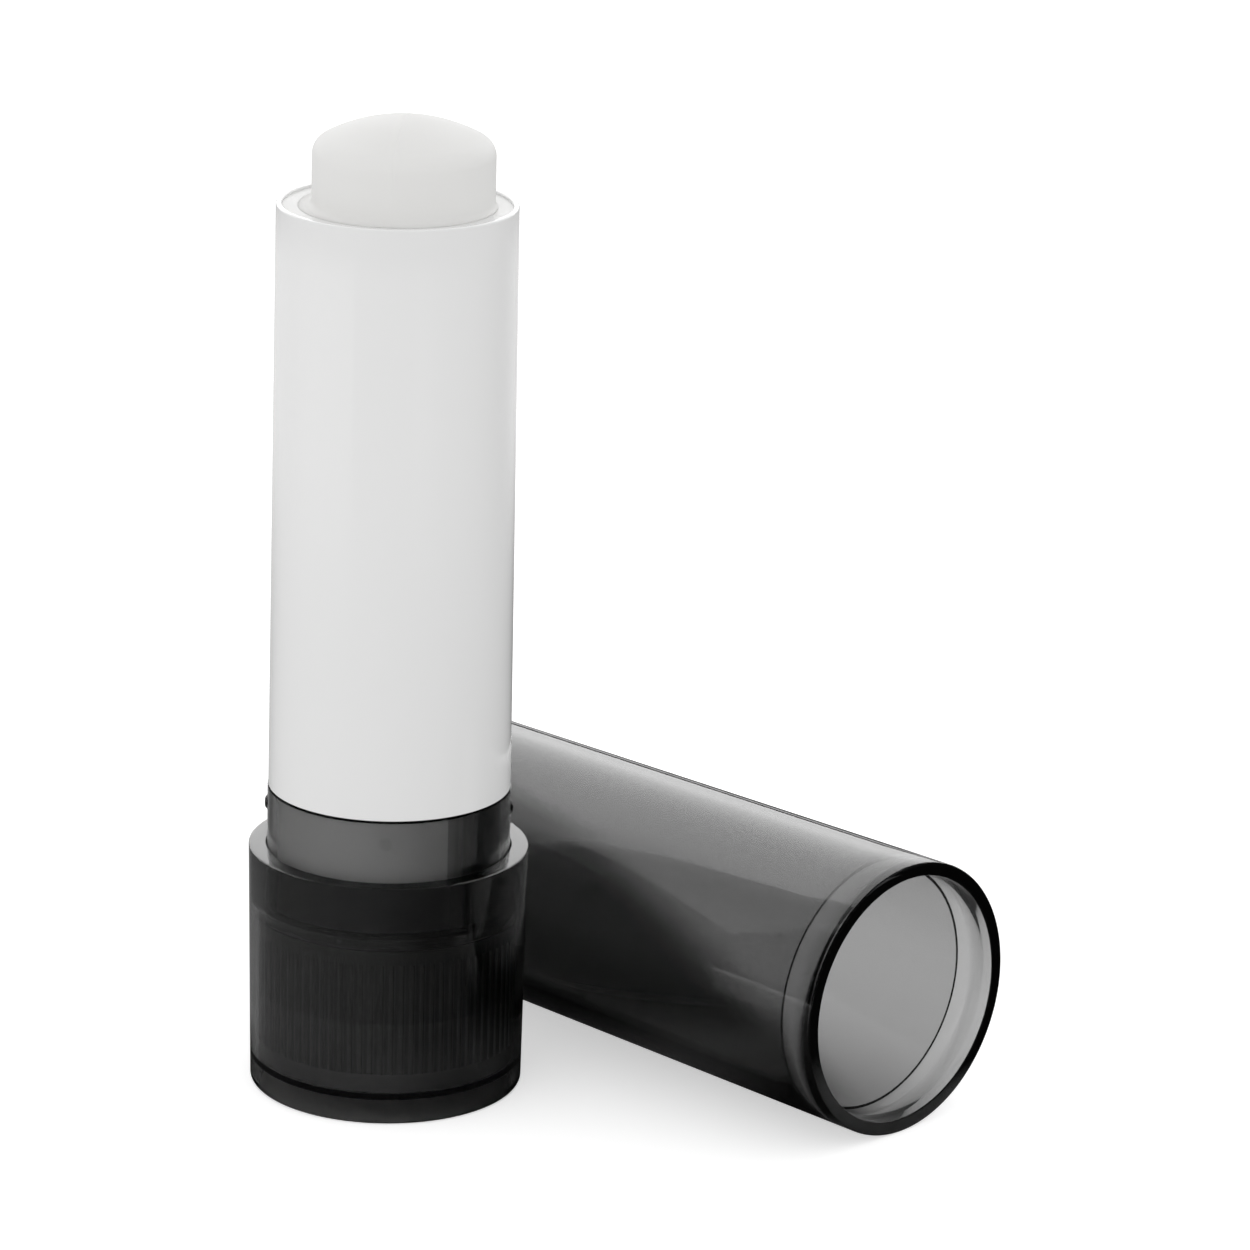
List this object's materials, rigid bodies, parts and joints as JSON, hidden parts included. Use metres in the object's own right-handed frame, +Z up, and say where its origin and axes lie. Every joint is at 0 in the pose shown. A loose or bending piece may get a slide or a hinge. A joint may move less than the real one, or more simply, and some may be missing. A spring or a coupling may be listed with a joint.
{
  "type": "lip balm stick",
  "caption": "Round twist-up lip balm stick standing on its smoke-clear base, balm raised above the white barrel, with its pull-off cap lying beside it.",
  "frame": {"origin": "on the stick's axis, at the foot of the base, on the table", "axes": "+Z up the stick's axis, +X the way the mouth of the lying cap points, +Y from the stick towards the cap"},
  "size_m": [0.0522, 0.0382, 0.0671],
  "materials": {
    "smoke_shell": "clear smoke-grey styrene, polished",
    "smoke_wheel": "clear smoke-grey styrene, knurled",
    "smoke_collar": "clear smoke-grey styrene, satin inside",
    "smoke_cap": "clear smoke-grey styrene, polished",
    "white_sleeve": "opaque white plastic, polished",
    "white_tube": "opaque white plastic, satin",
    "natural_plastic": "natural milky polypropylene",
    "balm_wax": "cast off-white wax, soft sheen"
  },
  "bodies": {
    "base": {"base_shell": "smoke_shell", "drive_wheel": "smoke_wheel", "spindle": "natural_plastic"},
    "barrel": {"collar": "smoke_collar", "inner_tube": "white_tube", "outer_sleeve": "white_sleeve"},
    "balm": {"elevator_cup": "natural_plastic", "balm_bullet": "balm_wax"},
    "cap": {"cap": "smoke_cap"}
  },
  "joints": [
    {"name": "twist", "type": "hinge", "parent": "base", "child": "barrel", "pos_m": [0, 0, 0.0139], "axis": [0, 0, -1], "range_deg": [0, 2880]},
    {"name": "lift", "type": "slide", "parent": "barrel", "child": "balm", "axis": [0, 0, 1], "range_m": [0, 0.0288]},
    {"name": "cap_pull", "type": "slide", "parent": "base", "child": "cap", "axis": [-1, 0, 0], "range_m": [0, 0.0502]}
  ],
  "couplings": [
    {"joint": "lift", "follows": "twist", "m_per_rad": 0.00057295}
  ]
}
